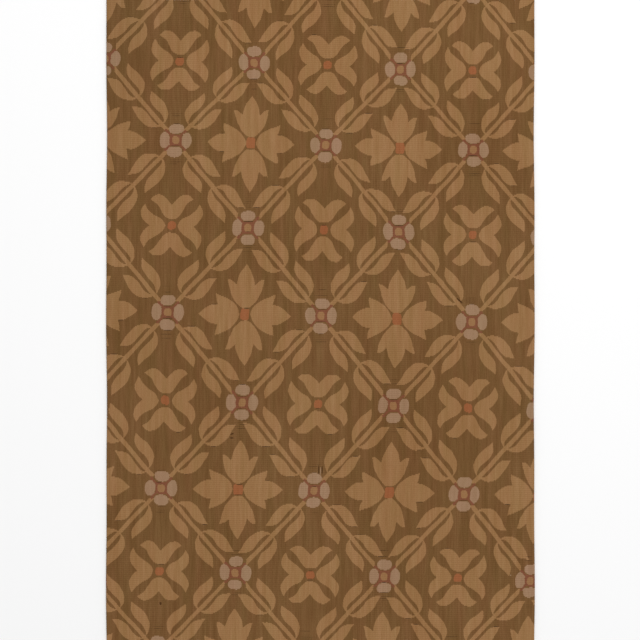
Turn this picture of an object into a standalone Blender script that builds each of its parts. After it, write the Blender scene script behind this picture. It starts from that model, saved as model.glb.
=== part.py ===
"""A cut length of flat-woven tapestry rug, lying flat.

The rug is one cloth: wool wefts beaten down over warps that run along X, so it
is one closed solid, flat underneath and a little uneven on top. Metres, +Z up.
The origin is on the underside, at the middle of the cloth.
"""

import math

import bmesh
import bpy

# The cut length, measured along and across the warps.
RUG_WIDTH = 0.480
RUG_LENGTH = 0.720
RUG_THICKNESS = 0.0030

# The rim is rounded where the outermost yarns turn back.
RIM_RADIUS = 0.0011
RIM_STEPS = 3

# A hand-woven edge wanders a little from a straight line.
EDGE_WANDER = 0.0006

# The beaten wefts leave the face a little higher and lower in broad patches.
FACE_RISE = 0.00025

# Faces of the cloth along X and along Y.
CELLS_X = 16
CELLS_Y = 24

COLLECTION_NAME = "aubusson_rug"
NODE_NAME = "rug"

# Broken gold-brown wool, the mean of ground and figures.
WOOL_COLOUR = (0.223, 0.115, 0.046, 1.0)
WOOL_ROUGHNESS = 0.92


def clear_scene():
    for item in list(bpy.data.objects):
        bpy.data.objects.remove(item, do_unlink=True)


def side_wander(distance):
    """How far a side edge stands out at a distance along Y."""
    return EDGE_WANDER * (0.6 * math.sin(19.0 * distance + 0.7) + 0.4 * math.sin(43.0 * distance + 2.1))


def end_wander(distance):
    """How far a top or bottom edge stands out at a distance along X."""
    return EDGE_WANDER * (0.6 * math.sin(23.0 * distance + 1.9) + 0.4 * math.sin(51.0 * distance + 0.4))


def face_height(x, y):
    """The upper face's height over the surface that the rug lies on."""
    along = math.sin(31.0 * x + 4.0 * y + 0.5)
    across = math.sin(21.0 * y - 9.0 * x + 1.3)
    fine = math.sin(57.0 * x + 38.0 * y)
    return RUG_THICKNESS + FACE_RISE * (0.45 * along + 0.40 * across + 0.15 * fine)


def wool_material():
    material = bpy.data.materials.new("rug_wool")
    material.use_nodes = True
    shader = material.node_tree.nodes["Principled BSDF"]
    shader.inputs["Base Color"].default_value = WOOL_COLOUR
    shader.inputs["Roughness"].default_value = WOOL_ROUGHNESS
    shader.inputs["Metallic"].default_value = 0.0
    material.diffuse_color = WOOL_COLOUR
    return material


def cloth_mesh():
    """A grid raised to the cloth's thickness, with its edges wandering and its rim rounded."""
    cloth = bmesh.new()
    bmesh.ops.create_grid(cloth, x_segments=CELLS_X, y_segments=CELLS_Y, size=0.5)
    bmesh.ops.scale(cloth, vec=(RUG_WIDTH, RUG_LENGTH, 1.0), verts=cloth.verts)
    for vert in cloth.verts:
        across = 2.0 * vert.co.x / RUG_WIDTH
        along = 2.0 * vert.co.y / RUG_LENGTH
        x_shift = across * side_wander(vert.co.y)
        y_shift = along * end_wander(vert.co.x)
        vert.co.x += x_shift
        vert.co.y += y_shift

    # The grid becomes the upper face, and its copy below becomes the underside.
    raised = bmesh.ops.extrude_face_region(cloth, geom=cloth.faces[:])
    upper = [item for item in raised["geom"] if isinstance(item, bmesh.types.BMVert)]
    for vert in upper:
        vert.co.z = face_height(vert.co.x, vert.co.y)
    bmesh.ops.recalc_face_normals(cloth, faces=cloth.faces)

    # The flat underside needs no inner edges.
    underside = [face for face in cloth.faces if face.normal.z < -0.99]
    bmesh.ops.dissolve_faces(cloth, faces=underside, use_verts=False)

    rim = [edge for edge in cloth.edges if is_rim(edge)]
    bmesh.ops.bevel(
        cloth,
        geom=rim,
        affect="EDGES",
        offset=RIM_RADIUS,
        offset_type="OFFSET",
        segments=RIM_STEPS,
        profile=0.5,
        material=-1,
        clamp_overlap=True,
    )
    mesh = bpy.data.meshes.new(NODE_NAME)
    cloth.to_mesh(mesh)
    cloth.free()
    return mesh


def is_rim(edge):
    """True for the edges where the upper face or the underside meets a side."""
    if len(edge.link_faces) != 2:
        return False
    steepness = sorted(abs(face.normal.z) for face in edge.link_faces)
    return steepness[0] < 0.5 < steepness[1]


def build_rug():
    collection = bpy.data.collections.new(COLLECTION_NAME)
    bpy.context.scene.collection.children.link(collection)
    mesh = cloth_mesh()
    mesh.materials.append(wool_material())
    mesh.shade_smooth()
    mesh.set_sharp_from_angle(angle=math.radians(50.0))
    rug = bpy.data.objects.new(NODE_NAME, mesh)
    collection.objects.link(rug)
    return rug


clear_scene()
build_rug()
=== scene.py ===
"""Looks of the tapestry rug: a cut length of weft-faced cloth that lies flat on a pale floor.

The trellis is charted as closed outlines in millimetres. Each warp is then read along its
length, as a weaver reads a cartoon, and the outlines that it crosses give its runs of
wool. The runs become rounded ribs on a flat bed of warps, one mesh for each wool. A few
burrs and slubs lie in the wool, and beside one slub two dark streaks are painted shadow.
"""

import math
import random

import bmesh
import bpy
from bpy.props import FloatProperty, FloatVectorProperty, IntProperty, PointerProperty
from mathutils import Matrix, Vector


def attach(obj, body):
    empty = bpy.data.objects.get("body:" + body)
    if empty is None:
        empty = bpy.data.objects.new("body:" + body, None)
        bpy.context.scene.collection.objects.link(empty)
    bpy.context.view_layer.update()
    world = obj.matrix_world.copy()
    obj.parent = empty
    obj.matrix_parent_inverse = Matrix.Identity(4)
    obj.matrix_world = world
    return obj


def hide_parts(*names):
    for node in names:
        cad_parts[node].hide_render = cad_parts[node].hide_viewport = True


bl_info = {
    "name": "Tapestry rug loom",
    "version": (1, 0, 0),
    "blender": (4, 5, 0),
    "location": "View3D > Sidebar > Rug loom",
    "description": "Weaves a flat length of tapestry rug rib by rib",
    "category": "Object",
}

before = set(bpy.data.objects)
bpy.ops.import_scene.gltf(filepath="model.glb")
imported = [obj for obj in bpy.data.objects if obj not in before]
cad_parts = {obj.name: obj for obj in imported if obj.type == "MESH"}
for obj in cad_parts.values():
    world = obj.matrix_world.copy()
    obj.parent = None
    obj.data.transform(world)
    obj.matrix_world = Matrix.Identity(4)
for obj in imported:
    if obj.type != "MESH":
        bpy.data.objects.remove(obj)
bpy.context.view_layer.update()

MM = 0.001
NODE = "rug"
BODY = "root"

# The cloth's edges wander and its face rises and falls as its solid's do, in metres.
EDGE_WANDER = 0.0006
FACE_RISE = 0.00025

# How far the warps sway from straight lines inside the cloth, in metres.
WARP_SWAY = 0.0003

# The trellis in millimetres: half a repeat across and half a repeat up, as it is charted.
HALF_COLUMN = 84.4
HALF_ROW = 96.0

# Where each row of figures lies in the cloth, from the bottom row up, in millimetres:
# its height, its middle, its half repeat across, and how far it sinks in each of those.
ROWS = (
    {"height": -377.6, "middle": -15.4, "step": 83.0, "sink": 1.8},
    {"height": -285.9, "middle": -12.3, "step": 83.4, "sink": 1.9},
    {"height": -191.9, "middle": -7.9, "step": 84.9, "sink": 2.0},
    {"height": -94.5, "middle": -3.3, "step": 85.1, "sink": 2.1},
    {"height": 3.8, "middle": 0.2, "step": 85.1, "sink": 2.7},
    {"height": 101.0, "middle": 2.9, "step": 84.4, "sink": 2.6},
    {"height": 195.8, "middle": 5.3, "step": 83.7, "sink": 2.8},
    {"height": 285.1, "middle": 7.5, "step": 82.0, "sink": 2.8},
    {"height": 379.0, "middle": 9.8, "step": 81.5, "sink": 2.9},
)
MIDDLE_ROW = 4

# The repeats narrow towards the right: a figure moves left by NARROWING millimetres times the
# square of its column, and all of them move right by NARROWING times STEADY_SQUARE.
NARROWING = 0.42
STEADY_SQUARE = 1.7
COLUMNS = range(-4, 5)

# The wools. A wool's number is its place in WOOLS, which gives its piece, its slot, how
# streaky its dye is and how far its hue strays.
GROUND, LEAF, PETAL, OUTLINE, ORANGE, STRAW = range(6)
WOOLS = (
    {"piece": "ground_wefts", "slot": "ground_wool", "streak": 0.24, "tint": 0.036},
    {"piece": "leaf_wefts", "slot": "leaf_wool", "streak": 0.22, "tint": 0.024},
    {"piece": "petal_wefts", "slot": "petal_wool", "streak": 0.18, "tint": 0.02},
    {"piece": "outline_wefts", "slot": "outline_wool", "streak": 0.14, "tint": 0.03},
    {"piece": "orange_wefts", "slot": "centre_wool", "streak": 0.14, "tint": 0.02},
    {"piece": "straw_wefts", "slot": "leaf_wool", "streak": 0.14, "tint": 0.02},
)

# Half of a rib's section on the face and all of it on the back, as (across, rise): across in
# millimetres from the warp's middle, and rise from 0 at the middle of the cloth to 1 at its
# face. The colours step at half a rib, because the wefts slant where they turn back.
FACE_HALF = ((0.0, 1.0), (0.42, 0.99), (0.96, 0.945), (1.20, 0.83))
BACK_SECTION = ((-1.20, 0.60), (-0.62, 0.95), (0.62, 0.95), (1.20, 0.60))

# A rib's foot is further from its middle than this share of the pitch. The thinnest rib has
# this much of the full rise.
FOOT_FROM = 0.51
LEAST_FULLNESS = 0.965

# At a slit the rib's foot draws in and sinks to SLIT_FOOT, all the way where the gap beside it
# is DEEP_GAP millimetres, and its shoulder draws in by a share of the gap.
SLIT_FOOT = 0.25
DEEP_GAP = 0.22
SHOULDER_SHARE = 0.8

# A slit stops this far from the ends of its colour step, in millimetres. It has sections at
# these shares of its length, and the narrowest is this share of the widest opening.
SLIT_END = 0.4
SLIT_SECTIONS = (0.0, 0.12, 0.5, 0.88, 1.0)
NARROWEST_SLIT = 0.15

# The bed of warps: its rise as a rib's, how far it stays inside the edges, in metres, and its
# faces along X and along Y.
BED_RISE = 0.35
BED_INSET = 0.0012
BED_CELLS = (24, 36)

# How a rib closes at its ends: (distance from the end in millimetres, share of its rise).
END_ROUNDING = ((0.0, 0.0), (0.25, 0.55), (0.8, 0.85), (1.8, 1.0))

# The longest and shortest distance between two sections of a rib, and the shortest run of a
# wool, in millimetres.
LONGEST_STRETCH = 14.0
SHORTEST_STRETCH = 0.12
SHORTEST_RUN = 0.6

# Burrs and slubs that were spun into the wool, in millimetres in the cloth, each turned by
# some degrees from the warps' direction. The first two burrs are painted shadow: dark streaks
# on either side of the first slub.
BURRS_AND_SHADE_STREAKS = (
    {"x": -2.0, "y": -167.8, "length": 11.0, "width": 1.3, "turn": 90.0},
    {"x": 1.9, "y": -167.8, "length": 9.5, "width": 1.2, "turn": 90.0},
    {"x": -99.2, "y": -127.4, "length": 4.2, "width": 1.6, "turn": 15.0},
    {"x": -99.7, "y": -131.9, "length": 4.4, "width": 1.4, "turn": 0.0},
    {"x": 155.8, "y": 21.9, "length": 9.0, "width": 1.7, "turn": -40.0},
    {"x": -179.0, "y": -318.3, "length": 3.4, "width": 2.4, "turn": 100.0},
)
SLUBS = (
    {"x": 0.1, "y": -169.2, "length": 9.6, "width": 1.1, "turn": 90.0},
    {"x": 212.8, "y": -286.3, "length": 2.0, "width": 1.3, "turn": 20.0},
)
FLECK_HEIGHT = 0.5
FLECK_STREAK = 0.14
FLECK_TINT = 0.02

# The flat map of the cloth: its margin, and how much of the height leans into it.
MAP_MARGIN = 1.04
MAP_LEAN = 0.12

# The wools' looks. Single picks, fine speckle and slow fading deepen the dye beside its lots.
# The ends are paler and one corner is darker, painted shade darkens the valleys between the
# ribs, and each weft is a small bead, in metres high.
PICK_SHARE = 0.95
SPECKLE_DEPTH = 0.15
FADE_DEPTH = 0.12
HUE_SPREAD = 0.22
PALE_ENDS = 0.35
DARK_CORNER = 0.09
CORNER_REACH = (0.36, 0.58)
# Painted shade in the valleys between ribs: how much it darkens, and how close to the valley it gathers.
VALLEY_SHADE = 0.02
VALLEY_SHADE_POWER = 5.0
BEAD_HEIGHT = 0.00012
BEAD_STRENGTH = 0.38
WOOL_ROUGHNESS = 0.9

# The stage, in metres, but for the camera's sensor, in millimetres.
LAMP_PLACE = Vector((0.6, 1.2, 3.4))
LAMP_SIZE = 2.6
FLOOR_HALF = 3.0
FLOOR_DROP = 0.0002
SENSOR_WIDTH = 36.0


class LoomSettings(bpy.types.PropertyGroup):
    """Sizes of the cloth and its ribs."""

    width: FloatProperty(name="Width", description="Length of the warps", default=0.480, unit="LENGTH")
    length: FloatProperty(name="Length", description="Size across the warps", default=0.720, unit="LENGTH")
    thickness: FloatProperty(name="Thickness", description="Cloth thickness", default=0.003, unit="LENGTH")
    rib_pitch: FloatProperty(name="Rib pitch", description="Warp to warp", default=0.00225, unit="LENGTH")
    weft_pitch: FloatProperty(
        name="Weft pitch", description="Weft to weft along one rib", default=0.0009, unit="LENGTH"
    )
    slit_share: FloatProperty(
        name="Open slits",
        description="Share of the long slits that have opened",
        default=0.85,
        subtype="FACTOR",
    )
    slit_least: FloatProperty(
        name="Shortest slit", description="A shorter colour step stays shut", default=0.0055, unit="LENGTH"
    )
    slit_opening: FloatProperty(
        name="Slit opening", description="Widest gap of an open slit", default=0.0007, unit="LENGTH"
    )
    unevenness: FloatProperty(
        name="Unevenness",
        description="Wander of a colour's edge from warp to warp",
        default=0.00012,
        unit="LENGTH",
    )
    seed: IntProperty(name="Seed", description="Seed of the hand's unevenness", default=7)


class TrellisSettings(bpy.types.PropertyGroup):
    """Sizes of the charted figures."""

    stem_width: FloatProperty(name="Stem", description="Width of a stem", default=0.0046, unit="LENGTH")
    leaf_fullness: FloatProperty(name="Leaf", description="Width over the charted one", default=1.0)
    lily_size: FloatProperty(name="Lily", description="Size over the charted one", default=1.0)
    quatrefoil_size: FloatProperty(name="Quatrefoil", description="Size over the charted one", default=1.0)
    floret_size: FloatProperty(name="Floret", description="Size over the charted one", default=1.0)


class DyeSettings(bpy.types.PropertyGroup):
    """Colours of the wools, as linear light."""

    ground: FloatVectorProperty(
        name="Ground", description="Walnut brown wool", default=(0.154, 0.0745, 0.0243), subtype="COLOR"
    )
    leaf: FloatVectorProperty(
        name="Leaf", description="Old gold wool", default=(0.275, 0.1425, 0.0562), subtype="COLOR"
    )
    petal: FloatVectorProperty(
        name="Petal", description="Pinkish beige wool", default=(0.290, 0.171, 0.0965), subtype="COLOR"
    )
    outline: FloatVectorProperty(
        name="Outline", description="Madder red wool", default=(0.184, 0.066, 0.0310), subtype="COLOR"
    )
    orange: FloatVectorProperty(
        name="Orange", description="Faded orange wool", default=(0.268, 0.0930, 0.0338), subtype="COLOR"
    )
    straw: FloatVectorProperty(
        name="Straw", description="Straw wool", default=(0.270, 0.136, 0.0560), subtype="COLOR"
    )
    # Dark brown for the burrs, and for the two streaks of painted shadow beside a slub.
    burr_and_shade: FloatVectorProperty(
        name="Burr", description="Burrs caught in the wool", default=(0.066, 0.027, 0.0070), subtype="COLOR"
    )
    slub: FloatVectorProperty(
        name="Slub", description="Thick pale threads", default=(0.300, 0.180, 0.100), subtype="COLOR"
    )
    # Painted shade: the warps are paler, but they are coloured dark brown for the shadow down the slits.
    warp: FloatVectorProperty(
        name="Warp", description="Warps deep in the cloth", default=(0.075, 0.038, 0.016), subtype="COLOR"
    )


class StageSettings(bpy.types.PropertyGroup):
    """Camera, floor and light."""

    view_height: FloatProperty(
        name="View height",
        description="Length of cloth that fills the picture",
        default=0.7185,
        unit="LENGTH",
    )
    camera_height: FloatProperty(
        name="Camera height", description="Above the floor", default=3.0, unit="LENGTH"
    )
    camera_aside: FloatProperty(
        name="Camera aside", description="To the right", default=-0.0005, unit="LENGTH"
    )
    lamp_power: FloatProperty(
        name="Softbox", description="Power of the softbox", default=91.0, unit="POWER"
    )
    sky_strength: FloatProperty(name="Sky", description="Strength of the even light", default=0.545)
    floor: FloatVectorProperty(
        name="Floor", description="Pale floor", default=(0.90, 0.90, 0.90), subtype="COLOR"
    )


def smooth_line(points, steps=5):
    """A smooth line through the points, as a Catmull-Rom spline."""
    line = []
    for index in range(len(points) - 1):
        start = points[index]
        end = points[index + 1]
        before = points[index - 1] if index else start
        after = points[index + 2] if index + 2 < len(points) else end
        for step in range(steps):
            t = step / steps
            line.append(tuple(spline(t, *axis) for axis in zip(before, start, end, after)))
    return line


def spline(t, before, start, end, after):
    """The Catmull-Rom value at t, from 0 to 1, between start and end."""
    slope_in = (end - before) / 2
    slope_out = (after - start) / 2
    rest = 1 - t
    return (
        start * rest * rest * (1 + 2 * t)
        + slope_in * t * rest * rest
        - slope_out * t * t * rest
        + end * t * t * (3 - 2 * t)
    )


def closed(*strokes):
    """One outline from strokes that meet at corners."""
    outline = []
    for stroke in strokes:
        outline.extend(smooth_line(stroke))
    return outline


def both_halves(*strokes):
    """A lobe's outline from the strokes of its right half, which start and end on its middle."""
    half = closed(*strokes) + [strokes[-1][-1]]
    other = [(-across, out) for across, out in reversed(half[1:-1])]
    return half + other


def round_shape(half_width, half_height, squareness, steps=28):
    """A superellipse: 2 is an ellipse, and more is squarer."""
    power = 2 / squareness
    outline = []
    for step in range(steps):
        turn = math.tau * step / steps
        c = math.cos(turn)
        s = math.sin(turn)
        across = half_width * math.copysign(abs(c) ** power, c)
        up = half_height * math.copysign(abs(s) ** power, s)
        outline.append((across, up))
    return outline


def bar(start, end, start_width, end_width):
    """A straight bar between two points."""
    dx = end[0] - start[0]
    dy = end[1] - start[1]
    size = math.hypot(dx, dy)
    nx = -dy / size / 2
    ny = dx / size / 2
    return [
        (start[0] + nx * start_width, start[1] + ny * start_width),
        (end[0] + nx * end_width, end[1] + ny * end_width),
        (end[0] - nx * end_width, end[1] - ny * end_width),
        (start[0] - nx * start_width, start[1] - ny * start_width),
    ]


# A stem runs from floret to floret a little low, in millimetres along it from the first one.
STEM_START = 14.5
STEM_END = 113.5
STEM_DROP = 1.1

# A leaf in millimetres: (back from its foot on the stem, out from the stem's middle).
LEAF_OUTER = (
    (39.8, 14.8), (31.2, 16.2), (22.5, 17.6), (14.0, 17.0), (7.3, 14.3), (2.8, 9.9), (0.4, 5.2), (-0.6, 0.0)
)
LEAF_INNER = (
    (-0.6, 0.0), (1.6, 3.4), (5.2, 5.5), (11.0, 6.5), (18.0, 6.0), (26.0, 6.0), (33.0, 8.3), (39.8, 14.8)
)
LEAF_LENGTH = 39.8

# The leaves of one stem: the foot's place along it, its side, how far the leaf is moved out,
# and how far its tip leans out.
LEAVES = (
    {"foot": 60.5, "side": 1, "out": -0.1, "lean": 0.6},
    {"foot": 60.5, "side": -1, "out": -0.3, "lean": -1.0},
    {"foot": 103.5, "side": 1, "out": 0.7, "lean": 0.2},
    {"foot": 104.0, "side": -1, "out": -0.7, "lean": -1.0},
)

# Half lobes, from the figure's middle outwards, in millimetres: (across, out).
LILY_TALL = (
    ((0, 6.8), (4.5, 7.4), (8.7, 11.2), (12.7, 15.9), (16.6, 23.6), (18.8, 31.0), (20.4, 38.4)),
    ((20.4, 38.4), (15.6, 37.4), (10.1, 32.4)),
    ((10.1, 32.4), (9.0, 38.4), (6.4, 45.6), (0, 55.6)),
)
LILY_WIDE = (
    ((0, 5.6), (6.5, 8.2), (12.0, 12.7), (16.5, 19.1), (19.4, 25.4), (22.2, 32.4)),
    ((22.2, 32.4), (15.2, 31.5), (10.6, 29.8)),
    ((10.6, 29.8), (9.9, 36.4), (6.2, 43.2), (0, 50.4)),
)
QUATREFOIL_TALL = (
    ((0, 7.5), (4.5, 8.1), (8.7, 11.3), (13.0, 17.8), (16.8, 23.8), (24.0, 29.2)),
    ((24.0, 29.2), (19.8, 32.9), (15.2, 34.1), (9.5, 32.7), (3.9, 27.8), (0, 23.2)),
)
QUATREFOIL_WIDE = (
    ((0, 7.0), (4.9, 8.9), (9.2, 13.1), (12.8, 19.2), (18.2, 25.6), (25.2, 29.8)),
    ((25.2, 29.8), (18.0, 33.2), (11.0, 33.1), (4.4, 29.2), (0, 24.4)),
)

# Round pieces, as (half width in millimetres, half height in millimetres, squareness).
LILY_CENTRE = (5.0, 6.4, 5.0)
QUATREFOIL_CENTRE = (4.6, 4.8, 2.8)
PETAL_TALL = (8.1, 5.9, 2.4)
PETAL_WIDE = (5.6, 9.2, 2.1)
FLORET_RING = (6.7, 6.7, 4.5)
FLORET_CENTRE = (4.1, 4.6, 2.6)
ARM_KNOB = (1.7, 1.4, 2.0)

# Where a floret's petals and arms lie from its middle, in millimetres. An arm widens by its
# flare towards its knob.
PETAL_UP = 13.5
PETAL_ASIDE = 12.1
ARM_START = (4.6, 4.6)
ARM_END = (10.6, 11.0)
ARM_WIDTH = 2.1
ARM_FLARE = 1.1

# The wefts crowd round a floret, so a few ribs above and below it stand a little apart, in
# millimetres: where the first valley is, how many there may be, the share of them that have
# parted, how far each one reaches, and its share of the widest opening.
PARTED_FROM = 20.5
PARTED_RIBS = 5
PARTED_SHARE = 0.5
PARTED_REACH = (3.0, 9.5)
PARTED_OPENING = (0.1, 0.5)

# The small wander of a hand-drawn line, as (size in millimetres, waves in a millimetre).
HAND_WANDER = ((0.30, 0.034), (0.16, 0.088))


def row_value(row, name):
    """A value of ROWS between two rows."""
    place = min(max(row + MIDDLE_ROW, 0.0), len(ROWS) - 1.0)
    low = min(int(place), len(ROWS) - 2)
    share = place - low
    return ROWS[low][name] * (1 - share) + ROWS[low + 1][name] * share


def in_cloth(across, up):
    """The place in the cloth of a place in the chart, both in millimetres."""
    column = across / HALF_COLUMN
    row = up / HALF_ROW
    narrowed = NARROWING * (STEADY_SQUARE - column * column)
    x = row_value(row, "middle") + row_value(row, "step") * column + narrowed
    y = row_value(row, "height") - row_value(row, "sink") * column
    return x, y


class Cartoon:
    """The weaver's drawing: closed outlines in the cloth, in the order in which they are laid."""

    def __init__(self, settings, trellis):
        self.pitch = settings.rib_pitch / MM
        self.hand = random.Random(settings.seed)
        self.crowd = random.Random(settings.seed + 2)
        self.middle_valley = settings.length / settings.rib_pitch / 2
        self.selvage = settings.width / MM / 2 - PARTED_REACH[0]
        self.opening = settings.slit_opening / MM
        self.trellis = trellis
        self.shapes = []
        self.partings = {}

    def lay(self, wool, outline):
        """Lays an outline, drawn in the chart, over those laid before it."""
        starts = [self.hand.uniform(0, math.tau) for _ in range(2 * len(HAND_WANDER))]
        drawn = []
        for across, up in outline:
            moved_across = across
            moved_up = up
            for (size, waves), start, other in zip(HAND_WANDER, starts[::2], starts[1::2]):
                turn = math.tau * waves
                moved_across += size * math.sin(turn * up + start)
                moved_up += size * math.sin(turn * across + other)
            drawn.append(in_cloth(moved_across, moved_up))
        self.shapes.append((wool, drawn))

    def about(self, value, share):
        """A size as a hand draws it."""
        return value * (1 + self.hand.uniform(-share, share))

    def figure(self, wool, outline, middle, turn=0.0, size=(1.0, 1.0)):
        """Lays an outline with its origin at a place of the chart, turned and sized."""
        c = math.cos(turn)
        s = math.sin(turn)
        points = []
        for across, out in outline:
            across *= size[0]
            out *= size[1]
            points.append((middle[0] + across * c + out * s, middle[1] - across * s + out * c))
        self.lay(wool, points)

    def draw(self):
        """Stems and leaves first, then the lilies and quatrefoils, and the florets on top."""
        corners = [(i, j) for i in COLUMNS for j in range(-MIDDLE_ROW, MIDDLE_ROW + 1)]
        for i, j in corners:
            if i % 2 and j % 2:
                self.stems(i, j)
        for i, j in corners:
            middle = (i * HALF_COLUMN, j * HALF_ROW)
            if i % 2 and not j % 2:
                self.lily(middle)
            elif j % 2 and not i % 2:
                self.quatrefoil(middle)
        for i, j in corners:
            if (i - j) % 2 == 0:
                self.floret((i * HALF_COLUMN, j * HALF_ROW))

    def stems(self, i, j):
        """The four stems that leave one floret, each with its leaves."""
        for flip_x in (-1, 1):
            for flip_y in (-1, 1):
                if abs(j + flip_y) > MIDDLE_ROW:
                    continue
                self.stem((i * HALF_COLUMN, j * HALF_ROW), flip_x, flip_y)

    def stem(self, floret, flip_x, flip_y):
        """A stem with two leaves on each side, in the quarter that the flips name."""
        size = math.hypot(HALF_COLUMN, HALF_ROW)
        along = (HALF_COLUMN / size, HALF_ROW / size)

        def place(down, out):
            across = along[0] * down + along[1] * out
            up = along[1] * down - along[0] * out - STEM_DROP
            return floret[0] + flip_x * across, floret[1] + flip_y * up

        half = self.about(self.trellis.stem_width / MM / 2, 0.06)
        sway = self.hand.uniform(-0.6, 0.6)
        middle = (STEM_START + STEM_END) / 2
        edge = ((STEM_START, half), (middle, half + sway), (STEM_END, half))
        end = ((STEM_END, half), (STEM_END, -half))
        other = ((STEM_END, -half), (middle, sway - half), (STEM_START, -half))
        self.lay(LEAF, [place(*point) for point in closed(edge, end, other)])
        for leaf in LEAVES:
            self.lay(LEAF, [place(*point) for point in self.leaf(leaf)])

    def leaf(self, leaf):
        """One leaf's outline, as places along its stem and out from it."""
        foot = leaf["foot"] + self.hand.uniform(-0.9, 0.9)
        moved = leaf["out"] + self.hand.uniform(-0.4, 0.4)
        lean = leaf["lean"] + self.hand.uniform(-0.6, 0.6)
        stretch = self.about(1.0, 0.03)
        fullness = self.about(self.trellis.leaf_fullness, 0.03)
        points = []
        for back, out in closed(LEAF_OUTER, LEAF_INNER):
            far = fullness * out + moved + lean * (back / LEAF_LENGTH) ** 2
            points.append((foot - stretch * back, leaf["side"] * far))
        return points

    def four_lobes(self, middle, tall, wide, size):
        """Two tall lobes and two wide ones round a middle."""
        for quarter, strokes in enumerate((tall, wide, tall, wide)):
            turn = quarter * math.pi / 2 + self.hand.uniform(-0.02, 0.02)
            sizes = (self.about(size, 0.045), self.about(size, 0.035))
            self.figure(LEAF, both_halves(*strokes), middle, turn, sizes)

    def lily(self, middle):
        self.four_lobes(middle, LILY_TALL, LILY_WIDE, self.trellis.lily_size)
        half_width, half_height, squareness = LILY_CENTRE
        centre = round_shape(self.about(half_width, 0.08), self.about(half_height, 0.06), squareness)
        self.figure(ORANGE, centre, middle)

    def quatrefoil(self, middle):
        self.four_lobes(middle, QUATREFOIL_TALL, QUATREFOIL_WIDE, self.trellis.quatrefoil_size)
        half_width, half_height, squareness = QUATREFOIL_CENTRE
        centre = round_shape(self.about(half_width, 0.06), self.about(half_height, 0.06), squareness)
        self.figure(ORANGE, centre, middle)

    def floret(self, middle):
        """Four petals round a ringed centre, with red arms between them."""
        size = self.trellis.floret_size
        x, y = self.on_a_valley(middle)
        for out in (-1, 1):
            petal = self.petal(PETAL_TALL, size)
            self.figure(PETAL, petal, (x + self.hand.uniform(-0.5, 0.5), y + out * PETAL_UP * size))
            petal = self.petal(PETAL_WIDE, size)
            self.figure(PETAL, petal, (x + out * PETAL_ASIDE * size, y + self.hand.uniform(-0.5, 0.5)))
        for flip_x in (-1, 1):
            for flip_y in (-1, 1):
                start = (x + flip_x * ARM_START[0], y + flip_y * ARM_START[1])
                end = (x + flip_x * ARM_END[0], y + flip_y * ARM_END[1])
                self.lay(OUTLINE, bar(start, end, ARM_WIDTH, ARM_FLARE * ARM_WIDTH))
                self.figure(OUTLINE, round_shape(*ARM_KNOB), end)
        half_width, half_height, squareness = FLORET_RING
        ring = round_shape(self.about(size * half_width, 0.04), size * half_height, squareness)
        self.figure(OUTLINE, ring, (x, y))
        half_width, half_height, squareness = FLORET_CENTRE
        centre = round_shape(self.about(size * half_width, 0.06), size * half_height, squareness)
        self.figure(STRAW, centre, (x, y))
        self.part_ribs((x, y))

    def petal(self, piece, size):
        """One petal's outline, sized and then varied as a hand draws it."""
        half_width, half_height, squareness = piece
        half_width = self.about(size * half_width, 0.05)
        half_height = self.about(size * half_height, 0.04)
        return round_shape(half_width, half_height, squareness)

    def part_ribs(self, middle):
        """A few narrow openings between ribs, above and below a floret."""
        x, y = in_cloth(*middle)
        for out in (-1, 1):
            for step in range(PARTED_RIBS):
                if self.crowd.random() > PARTED_SHARE:
                    continue
                start = max(x - self.crowd.uniform(*PARTED_REACH), -self.selvage)
                end = min(x + self.crowd.uniform(*PARTED_REACH), self.selvage)
                opening = self.opening * self.crowd.uniform(*PARTED_OPENING)
                valley = round((y + out * PARTED_FROM) / self.pitch + self.middle_valley) + out * step
                if end - start > PARTED_REACH[0]:
                    self.partings.setdefault(valley, []).append((start, end, opening))

    def on_a_valley(self, middle):
        """The middle moved up or down so that it lies between two warps."""
        y = in_cloth(*middle)[1]
        return middle[0], middle[1] + round(y / self.pitch) * self.pitch - y


def crossings(outline, height):
    """Where a level line at a height crosses an outline, from left to right."""
    found = []
    for index, (x1, y1) in enumerate(outline):
        x0, y0 = outline[index - 1]
        if (y0 <= height) != (y1 <= height):
            found.append(x0 + (x1 - x0) * (height - y0) / (y1 - y0))
    return sorted(found)


def lay_over(runs, start, end, wool):
    """The runs (start, end, wool) with a new run laid over them."""
    kept = []
    for low, high, colour in runs:
        if high <= start or low >= end:
            kept.append((low, high, colour))
            continue
        if low < start:
            kept.append((low, start, colour))
        if high > end:
            kept.append((end, high, colour))
    kept.append((start, end, wool))
    return sorted(kept)


def joined_runs(runs):
    """The runs with like neighbours joined and slivers given to the run before them."""
    tidy = []
    for low, high, wool in runs:
        if tidy and (tidy[-1][2] == wool or high - low < SHORTEST_RUN):
            tidy[-1] = (tidy[-1][0], high, tidy[-1][2])
        else:
            tidy.append((low, high, wool))
    return tidy


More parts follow.
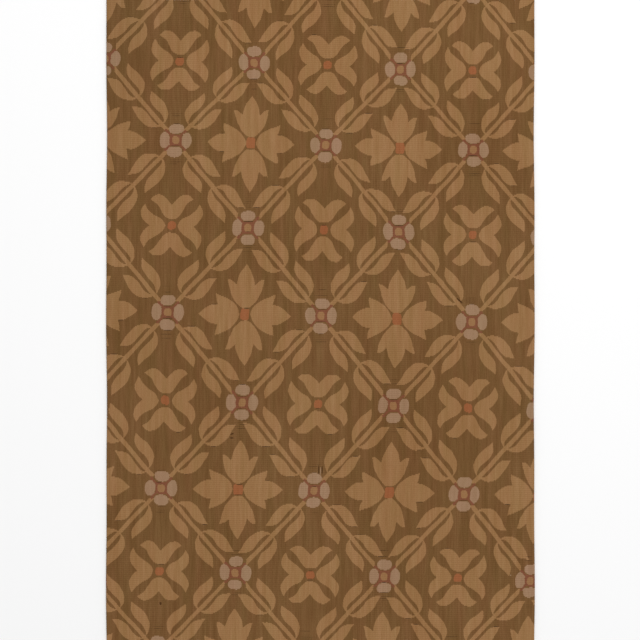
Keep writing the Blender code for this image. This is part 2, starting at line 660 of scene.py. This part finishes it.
def chart_half_ribs(settings, trellis):
    """The runs of wool on each half rib, from the bottom one up, and the ribs that stand apart."""
    cartoon = Cartoon(settings, trellis)
    cartoon.draw()
    half_width = settings.width / MM / 2
    uneven = settings.unevenness / MM
    pitch = settings.rib_pitch / MM / 2
    count = 2 * round(settings.length / settings.rib_pitch)
    heights = [(index + 0.5 - count / 2) * pitch for index in range(count)]
    half_ribs = [[(-half_width, half_width, GROUND)] for _ in heights]
    for wool, outline in cartoon.shapes:
        lowest = min(y for _, y in outline)
        highest = max(y for _, y in outline)
        first = max(0, math.ceil((lowest - heights[0]) / pitch))
        last = min(count - 1, math.floor((highest - heights[0]) / pitch))
        for index in range(first, last + 1):
            borders = crossings(outline, heights[index])
            for start, end in zip(borders[::2], borders[1::2]):
                start = max(start + cartoon.hand.gauss(0, uneven), -half_width)
                end = min(end + cartoon.hand.gauss(0, uneven), half_width)
                if end - start > SHORTEST_RUN / 2:
                    half_ribs[index] = lay_over(half_ribs[index], start, end, wool)
    return [joined_runs(runs) for runs in half_ribs], cartoon.partings


def wool_at(runs, place):
    """The wool of the run that holds a place."""
    for low, high, wool in runs:
        if low <= place < high:
            return wool
    return runs[-1][2]


def slits_between(lower, upper, settings, hand):
    """Where two ribs keep different wools side by side for long, some slits have opened."""
    places = sorted({edge for run in lower + upper for edge in run[:2]})
    stretches = []
    for start, end in zip(places, places[1:]):
        pair = (wool_at(lower, (start + end) / 2), wool_at(upper, (start + end) / 2))
        if stretches and stretches[-1][2] == pair:
            stretches[-1] = (stretches[-1][0], end, pair)
        else:
            stretches.append((start, end, pair))
    slits = []
    for start, end, pair in stretches:
        if pair[0] == pair[1] or end - start < settings.slit_least / MM:
            continue
        if hand.random() < settings.slit_share:
            opening = settings.slit_opening / MM * hand.uniform(NARROWEST_SLIT, 1.0)
            slits.append((start + SLIT_END, end - SLIT_END, opening))
    return slits


def gap_at(slits, place):
    """How far a rib's side is drawn in at a place along it."""
    for start, end, opening in slits:
        if start < place < end:
            share = (place - start) / (end - start)
            return opening / 2 * (1 - (2 * share - 1) ** 4)
    return 0.0


def end_share(place, half_width):
    """How much of its rise a rib has at a place near its end."""
    inset = half_width - abs(place)
    for (near, low), (far, high) in zip(END_ROUNDING, END_ROUNDING[1:]):
        if inset <= far:
            return low + (high - low) * max(inset - near, 0.0) / (far - near)
    return 1.0


def places_along(runs, slits, half_width):
    """Where a rib gets a section: at its ends, its colour changes and its slits, and in between."""
    wanted = {edge for run in runs for edge in run[:2]}
    for inset, _ in END_ROUNDING:
        wanted.add(half_width - inset)
        wanted.add(inset - half_width)
    for start, end, _ in slits:
        wanted.update(start + share * (end - start) for share in SLIT_SECTIONS)
    places = []
    for place in sorted(wanted):
        if places and place - places[-1] < SHORTEST_STRETCH:
            continue
        if places and place - places[-1] > LONGEST_STRETCH:
            parts = math.ceil((place - places[-1]) / LONGEST_STRETCH)
            start = places[-1]
            places.extend(start + (place - start) * part / parts for part in range(1, parts))
        places.append(place)
    places[-1] = half_width
    return places


def side_wander(distance):
    """How far a side edge stands out at a distance along Y, in metres."""
    return EDGE_WANDER * (0.6 * math.sin(19.0 * distance + 0.7) + 0.4 * math.sin(43.0 * distance + 2.1))


def end_wander(distance):
    """How far a top or bottom edge stands out at a distance along X, in metres."""
    return EDGE_WANDER * (0.6 * math.sin(23.0 * distance + 1.9) + 0.4 * math.sin(51.0 * distance + 0.4))


def face_height(x, y, thickness):
    """The upper face's height over the floor, as on the rug's solid."""
    along = math.sin(31.0 * x + 4.0 * y + 0.5)
    across = math.sin(21.0 * y - 9.0 * x + 1.3)
    fine = math.sin(57.0 * x + 38.0 * y)
    return thickness + FACE_RISE * (0.45 * along + 0.40 * across + 0.15 * fine)


def laid(x, y, rise, settings):
    """A point of the cloth as it lies: rise is -1 at its back, 0 at its middle and 1 at its face."""
    across = 2 * x / settings.width
    along = 2 * y / settings.length
    warp_sway = WARP_SWAY * math.sin(17.0 * x + 6.0 * y + 0.8) * (1 - along * along)
    placed_x = x + across * side_wander(y)
    placed_y = y + along * end_wander(x) + warp_sway
    height = face_height(placed_x, placed_y, settings.thickness)
    return Vector((placed_x, placed_y, height * (1 + rise) / 2))


class Loom:
    """Weaves the charted ribs into one mesh whose faces are numbered by their wool."""

    def __init__(self, settings, trellis):
        self.settings = settings
        self.half_ribs, self.partings = chart_half_ribs(settings, trellis)
        self.count = len(self.half_ribs) // 2
        self.hand = random.Random(settings.seed + 1)

    def weave(self):
        """Chooses the slits on each side of every rib, then weaves the ribs in order."""
        slits = [[]]
        for lower, upper in zip(self.half_ribs[1::2], self.half_ribs[2::2]):
            opened = slits_between(lower, upper, self.settings, self.hand)
            slits.append(opened + self.partings.get(len(slits), []))
        slits.append([])
        cloth = bmesh.new()
        woven = bpy.data.meshes.new("woven_rib")
        for index in range(self.count):
            rib = self.one_rib(index, slits[index], slits[index + 1])
            rib.to_mesh(woven)
            rib.free()
            cloth.from_mesh(woven)
        bpy.data.meshes.remove(woven)
        return cloth

    def one_rib(self, index, below, above):
        """A rib's face in two halves, and its back in one strip."""
        rib = bmesh.new()
        rib.verts.layers.float.new("weft")
        rib.verts.layers.float.new("rib")
        fullness = self.hand.uniform(LEAST_FULLNESS, 1.0)
        lower, upper = self.half_ribs[2 * index : 2 * index + 2]
        lower_section = [(-across, rise) for across, rise in reversed(FACE_HALF)]
        self.strip(rib, index, lower, below, lower_section, fullness)
        self.strip(rib, index, upper, above, FACE_HALF, fullness)
        self.strip(rib, index, lower, [], BACK_SECTION, -fullness)
        return rib

    def strip(self, rib, index, runs, slits, section, fullness):
        """A grid whose columns move to the colour changes and whose rows round the rib."""
        weft_layer = rib.verts.layers.float["weft"]
        rib_layer = rib.verts.layers.float["rib"]
        half_width = self.settings.width / MM / 2
        pitch = self.settings.rib_pitch / MM
        middle = (index + 0.5 - self.count / 2) * pitch
        places = places_along(runs, slits, half_width)
        columns = len(places) - 1
        rows = len(section) - 1
        grid = bmesh.ops.create_grid(rib, x_segments=columns, y_segments=rows, size=0.5)
        faces = set()
        for vert in grid["verts"]:
            faces.update(vert.link_faces)
            place = places[round((vert.co.x + 0.5) * columns)]
            across, rise = section[round((vert.co.y + 0.5) * rows)]
            foot = abs(across) > FOOT_FROM * pitch
            gap = gap_at(slits, place)
            if gap and across:
                across -= math.copysign(gap if foot else SHOULDER_SHARE * gap, across)
                rise += (SLIT_FOOT - rise) * min(gap / DEEP_GAP, 1.0) if foot else 0.0
            if foot and (index == 0 and across < 0 or index == self.count - 1 and across > 0):
                rise = 0.0
            rise *= fullness * end_share(place, half_width)
            vert[weft_layer] = place * MM / self.settings.weft_pitch
            vert[rib_layer] = index + across / pitch
            vert.co = laid(place * MM, (middle + across) * MM, rise, self.settings)
        for face in faces:
            ends = [vert.co.x for vert in face.verts]
            face.material_index = wool_at(runs, (min(ends) + max(ends)) / 2 / MM)
            face.smooth = True
        if fullness < 0:
            bmesh.ops.reverse_faces(rib, faces=list(faces))


def add_bake_map(mesh, settings):
    """A flat map of the cloth, with a little of the height in it so that no face is without width."""
    layer = mesh.uv_layers.new(name="OFBake")
    for loop in mesh.loops:
        co = mesh.vertices[loop.vertex_index].co
        u = 0.5 + (co.x + MAP_LEAN * co.z) / (MAP_MARGIN * settings.length)
        v = 0.5 + (co.y + MAP_LEAN * co.z) / (MAP_MARGIN * settings.length)
        layer.data[loop.index].uv = (u, v)


def add_piece(name, mesh):
    """A finished piece of the rug: it rides with the cloth and stands for its solid."""
    piece = bpy.data.objects.new(name, mesh)
    bpy.context.scene.collection.objects.link(piece)
    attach(piece, BODY)
    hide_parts(NODE)
    return piece


class Number:
    """A number that a material's nodes work out, for use in Python sums."""

    def __init__(self, recipe, socket):
        self.recipe = recipe
        self.socket = socket

    def __add__(self, other):
        return self.recipe.maths("ADD", self, other)

    def __sub__(self, other):
        return self.recipe.maths("SUBTRACT", self, other)

    def __rsub__(self, other):
        return self.recipe.maths("SUBTRACT", other, self)

    def __mul__(self, other):
        return self.recipe.maths("MULTIPLY", self, other)

    __radd__ = __add__
    __rmul__ = __mul__


class Recipe:
    """A material's node tree, and short ways to add to it."""

    def __init__(self, name):
        self.material = bpy.data.materials.new(name)
        self.material.use_nodes = True
        self.tree = self.material.node_tree
        self.shader = self.tree.nodes["Principled BSDF"]

    def node(self, kind, settings, sockets, output=0):
        """Adds a node, sets it up, feeds its sockets and gives one of its outputs."""
        node = self.tree.nodes.new(kind)
        for key, value in settings.items():
            setattr(node, key, value)
        for key, value in sockets.items():
            self.feed(node.inputs[key], value)
        return Number(self, node.outputs[output])

    def feed(self, socket, value):
        if isinstance(value, Number):
            self.tree.links.new(value.socket, socket)
        else:
            socket.default_value = value

    def maths(self, operation, *values):
        return self.node("ShaderNodeMath", {"operation": operation}, dict(enumerate(values)))

    def attribute(self, name):
        return self.node("ShaderNodeAttribute", {"attribute_name": name}, {}, "Fac")

    def place(self):
        return self.node("ShaderNodeTexCoord", {}, {}, "Object")

    def noise(self, place, stretch, seed, detail=2.0):
        """Soft noise about 0 whose patches measure one over the stretch, in metres."""
        moved = self.node("ShaderNodeMapping", {}, {"Vector": place, "Location": seed, "Scale": stretch})
        sockets = {"Vector": moved, "Scale": 1.0, "Detail": detail}
        return self.node("ShaderNodeTexNoise", {}, sockets, "Fac") - 0.5

    def blend(self, share, first, second):
        """A mix of two colours."""
        sockets = {"Factor": share, 6: first, 7: second}
        return self.node("ShaderNodeMix", {"data_type": "RGBA"}, sockets, 2)

    def brighten(self, colour, factor):
        return self.node("ShaderNodeVectorMath", {"operation": "SCALE"}, {0: colour, "Scale": factor})


def tinted(colour, red, green, blue):
    """A colour with its three parts scaled."""
    return (colour[0] * red, colour[1] * green, colour[2] * blue, 1.0)


def wool_material(name, colour, streak, tint):
    """Hand-spun wool: streaks of unlike dye lots along the wefts, painted shade in the valleys between the
    ribs and fine fuzz.
    """
    recipe = Recipe(name)
    place = recipe.place()
    weft = recipe.attribute("weft")
    rib = recipe.attribute("rib")

    # Wefts run across the warps, so that a dye lot shows as a thin upright streak.
    lots = recipe.noise(place, (170.0, 9.0, 0.0), (3.1, 7.7, 0.0))
    picks = recipe.noise(place, (760.0, 38.0, 0.0), (11.3, 2.9, 0.0), 1.0)
    hue = recipe.noise(place, (75.0, 16.0, 0.0), (5.9, 13.1, 0.0), 3.0)
    fade = recipe.noise(place, (8.0, 6.0, 0.0), (1.7, 4.3, 0.0), 1.0)
    speckle = recipe.noise(place, (1500.0, 420.0, 0.0), (9.2, 6.1, 0.0), 1.0)

    # The ends are a little paler than the middle, and the top left corner is darker.
    up = recipe.node("ShaderNodeSeparateXYZ", {}, {"Vector": place}, 1)
    aside = recipe.node("ShaderNodeSeparateXYZ", {}, {"Vector": place}, 0)
    corner = recipe.node(
        "ShaderNodeMapRange",
        {"interpolation_type": "SMOOTHSTEP"},
        {
            "Value": up - aside,
            "From Min": CORNER_REACH[0],
            "From Max": CORNER_REACH[1],
            "To Min": 0.0,
            "To Max": DARK_CORNER,
        },
    )
    ends = up * up * PALE_ENDS - corner

    # Across a rib, 0 is its crown and 1 the valley beside it.
    valley = recipe.maths("ABSOLUTE", recipe.maths("FRACT", rib + 0.5) - 0.5) * 2
    # Painted shade: the base colour darkens towards each valley, where the ribs shade one another.
    valley_shade = recipe.maths("POWER", valley, VALLEY_SHADE_POWER)

    olive = tinted(colour, 1 - tint, 1 + 0.5 * tint, 1 - 0.6 * tint)
    rosy = tinted(colour, 1 + tint, 1 - 0.5 * tint, 1 + tint)
    side = recipe.node(
        "ShaderNodeMapRange",
        {},
        {"Value": hue + lots * 0.5, "From Min": -HUE_SPREAD, "From Max": HUE_SPREAD},
    )
    dyed = recipe.blend(side, olive, rosy)

    # A deeper dip in the dye darkens the weaker parts of the colour most, as a power does.
    picked = picks * (PICK_SHARE * streak)
    depth = 1 - lots * streak - picked - speckle * SPECKLE_DEPTH - fade * FADE_DEPTH
    dipped = recipe.node("ShaderNodeGamma", {}, {"Color": dyed, "Gamma": depth})
    # The base colour is scaled by the painted shade in the valleys, and by the paler ends and darker
    # corner.
    recipe.feed(recipe.shader.inputs["Base Color"], recipe.brighten(dipped, 1 - valley_shade * VALLEY_SHADE + ends))
    recipe.feed(recipe.shader.inputs["Roughness"], WOOL_ROUGHNESS + picks * 0.12)

    # Each weft shows as a small bead over the warp, half a weft further on at each next rib.
    odd = recipe.maths("FLOORED_MODULO", recipe.maths("FLOOR", rib + 0.5), 2.0)
    bead = recipe.maths("FRACT", weft + odd * 0.5 + rib * 0.35 + speckle * 0.5) * 2 - 1
    height = 1 - bead * bead + speckle * 1.2 + picks * 1.5
    sockets = {"Strength": BEAD_STRENGTH, "Distance": BEAD_HEIGHT, "Height": height}
    recipe.feed(recipe.shader.inputs["Normal"], recipe.node("ShaderNodeBump", {}, sockets))

    recipe.shader.inputs["Metallic"].default_value = 0.0
    recipe.shader.inputs["Specular IOR Level"].default_value = 0.1
    recipe.shader.inputs["Sheen Weight"].default_value = 0.02
    recipe.shader.inputs["Sheen Roughness"].default_value = 0.6
    return recipe.material


def shaded_warp_material(name, colour):
    """Warps deep in the cloth, seen only down the slits, and coloured dark brown as painted shade for the
    shadow there.
    """
    recipe = Recipe(name)
    grime = recipe.noise(recipe.place(), (900.0, 300.0, 0.0), (2.0, 8.0, 0.0))
    recipe.feed(recipe.shader.inputs["Base Color"], recipe.brighten(tuple(colour), 1 + grime))
    recipe.feed(recipe.shader.inputs["Roughness"], 0.95 + grime * 0.05)
    return recipe.material


class RUGLOOM_OT_lay_warps(bpy.types.Operator):
    """Lay the flat bed of packed warps inside the cloth"""

    bl_idname = "rugloom.lay_warps"
    bl_label = "Lay warps"

    def execute(self, context):
        settings = context.scene.rug_loom
        bed = bmesh.new()
        bmesh.ops.create_grid(bed, x_segments=BED_CELLS[0], y_segments=BED_CELLS[1], size=0.5)
        spread = (settings.width - 2 * BED_INSET, settings.length - 2 * BED_INSET, 1.0)
        bmesh.ops.scale(bed, vec=spread, verts=bed.verts)
        raised = bmesh.ops.extrude_face_region(bed, geom=bed.faces[:])
        upper = {item for item in raised["geom"] if isinstance(item, bmesh.types.BMVert)}
        for vert in bed.verts:
            rise = BED_RISE if vert in upper else -BED_RISE
            vert.co = laid(vert.co.x, vert.co.y, rise, settings)
        bmesh.ops.recalc_face_normals(bed, faces=bed.faces)
        mesh = bpy.data.meshes.new("warp_bed")
        bed.to_mesh(mesh)
        bed.free()
        add_bake_map(mesh, settings)
        # The bed's dark colour is painted shade for the shadow down the slits.
        mesh.materials.append(shaded_warp_material("warp_bed", context.scene.rug_dyes.warp))
        add_piece("warp_bed", mesh)
        return {"FINISHED"}


class RUGLOOM_OT_weave_ribs(bpy.types.Operator):
    """Weave the ribs of the face and the back, one mesh for each wool"""

    bl_idname = "rugloom.weave_ribs"
    bl_label = "Weave ribs"

    def execute(self, context):
        settings = context.scene.rug_loom
        dyes = context.scene.rug_dyes
        colours = (dyes.ground, dyes.leaf, dyes.petal, dyes.outline, dyes.orange, dyes.straw)
        cloth = Loom(settings, context.scene.rug_trellis).weave()
        for wool, kind in enumerate(WOOLS):
            name = kind["piece"]
            own = cloth.copy()
            others = [face for face in own.faces if face.material_index != wool]
            bmesh.ops.delete(own, geom=others, context="FACES")
            for face in own.faces:
                face.material_index = 0
            if not own.faces:
                raise RuntimeError(f"no rib holds {name}")
            mesh = bpy.data.meshes.new(name)
            own.to_mesh(mesh)
            own.free()
            add_bake_map(mesh, settings)
            mesh.materials.append(wool_material(name, colours[wool], kind["streak"], kind["tint"]))
            add_piece(name, mesh)
        cloth.free()
        return {"FINISHED"}


def fleck_mesh(name, flecks, settings):
    """Flattened beads that lie half sunk in the cloth's face."""
    caught = bmesh.new()
    for fleck in flecks:
        lying = laid(fleck["x"] * MM, fleck["y"] * MM, 1.0, settings)
        size = Vector((fleck["length"], fleck["width"], FLECK_HEIGHT)) * MM
        place = Matrix.LocRotScale(lying, Matrix.Rotation(math.radians(fleck["turn"]), 3, "Z"), size)
        bmesh.ops.create_uvsphere(caught, u_segments=12, v_segments=7, radius=0.5, matrix=place)
    for face in caught.faces:
        face.smooth = True
    mesh = bpy.data.meshes.new(name)
    caught.to_mesh(mesh)
    caught.free()
    return mesh


class RUGLOOM_OT_add_flecks(bpy.types.Operator):
    """Add the burrs and slubs that are caught in the wool, and two dark streaks of painted shadow beside a
    slub
    """

    bl_idname = "rugloom.add_flecks"
    bl_label = "Add flecks"

    def execute(self, context):
        settings = context.scene.rug_loom
        dyes = context.scene.rug_dyes
        kinds = (
            # The burr piece also holds two dark streaks that paint the shadow beside a slub.
            ("dark_burrs_and_shade_streaks", BURRS_AND_SHADE_STREAKS, dyes.burr_and_shade, "ground_wool"),
            ("pale_slubs", SLUBS, dyes.slub, "petal_wool"),
        )
        for name, flecks, colour, slot_name in kinds:
            mesh = fleck_mesh(name, flecks, settings)
            add_bake_map(mesh, settings)
            mesh.materials.append(wool_material(name, colour, FLECK_STREAK, FLECK_TINT))
            add_piece(name, mesh)
        return {"FINISHED"}


class RUGLOOM_OT_set_stage(bpy.types.Operator):
    """Set the camera, the pale floor and the soft light"""

    bl_idname = "rugloom.set_stage"
    bl_label = "Set stage"

    def execute(self, context):
        stage = context.scene.rug_stage
        scene = context.scene
        scene.view_settings.view_transform = "Standard"

        camera = bpy.data.objects.new("camera", bpy.data.cameras.new("camera"))
        scene.collection.objects.link(camera)
        camera.location = (stage.camera_aside, 0.0, stage.camera_height)
        camera.data.sensor_width = SENSOR_WIDTH
        camera.data.lens = SENSOR_WIDTH * stage.camera_height / stage.view_height
        scene.camera = camera

        sheet = bmesh.new()
        bmesh.ops.create_grid(sheet, x_segments=1, y_segments=1, size=FLOOR_HALF)
        bmesh.ops.translate(sheet, vec=(0.0, 0.0, -FLOOR_DROP), verts=sheet.verts)
        mesh = bpy.data.meshes.new("floor")
        sheet.to_mesh(mesh)
        sheet.free()
        floor = bpy.data.objects.new("floor", mesh)
        scene.collection.objects.link(floor)
        material = bpy.data.materials.new("floor")
        material.use_nodes = True
        shader = material.node_tree.nodes["Principled BSDF"]
        shader.inputs["Base Color"].default_value = (*stage.floor, 1.0)
        shader.inputs["Roughness"].default_value = 0.9
        mesh.materials.append(material)

        world = bpy.data.worlds.new("studio")
        world.use_nodes = True
        background = world.node_tree.nodes["Background"]
        background.inputs["Color"].default_value = (1.0, 1.0, 1.0, 1.0)
        background.inputs["Strength"].default_value = stage.sky_strength
        scene.world = world

        lamp_data = bpy.data.lights.new("softbox", "AREA")
        lamp_data.shape = "SQUARE"
        lamp_data.size = LAMP_SIZE
        lamp_data.energy = stage.lamp_power
        lamp = bpy.data.objects.new("softbox", lamp_data)
        lamp.location = LAMP_PLACE
        lamp.rotation_euler = (-LAMP_PLACE).to_track_quat("-Z", "Y").to_euler()
        scene.collection.objects.link(lamp)
        return {"FINISHED"}


OPERATORS = (RUGLOOM_OT_lay_warps, RUGLOOM_OT_weave_ribs, RUGLOOM_OT_add_flecks, RUGLOOM_OT_set_stage)


class RUGLOOM_PT_sidebar(bpy.types.Panel):
    """The loom's panel in the sidebar"""

    bl_idname = "RUGLOOM_PT_sidebar"
    bl_label = "Rug loom"
    bl_space_type = "VIEW_3D"
    bl_region_type = "UI"
    bl_category = "Rug loom"

    def draw(self, context):
        for operator in OPERATORS:
            self.layout.operator(operator.bl_idname)


GROUPS = {
    "rug_loom": LoomSettings,
    "rug_trellis": TrellisSettings,
    "rug_dyes": DyeSettings,
    "rug_stage": StageSettings,
}


def register():
    for name, group in GROUPS.items():
        bpy.utils.register_class(group)
        setattr(bpy.types.Scene, name, PointerProperty(type=group))
    for operator in OPERATORS:
        bpy.utils.register_class(operator)
    bpy.utils.register_class(RUGLOOM_PT_sidebar)


def unregister():
    bpy.utils.unregister_class(RUGLOOM_PT_sidebar)
    for operator in reversed(OPERATORS):
        bpy.utils.unregister_class(operator)
    for name, group in GROUPS.items():
        delattr(bpy.types.Scene, name)
        bpy.utils.unregister_class(group)


def main():
    register()
    bpy.ops.rugloom.lay_warps()
    bpy.ops.rugloom.weave_ribs()
    bpy.ops.rugloom.add_flecks()
    bpy.ops.rugloom.set_stage()


if __name__ == "__main__":
    main()
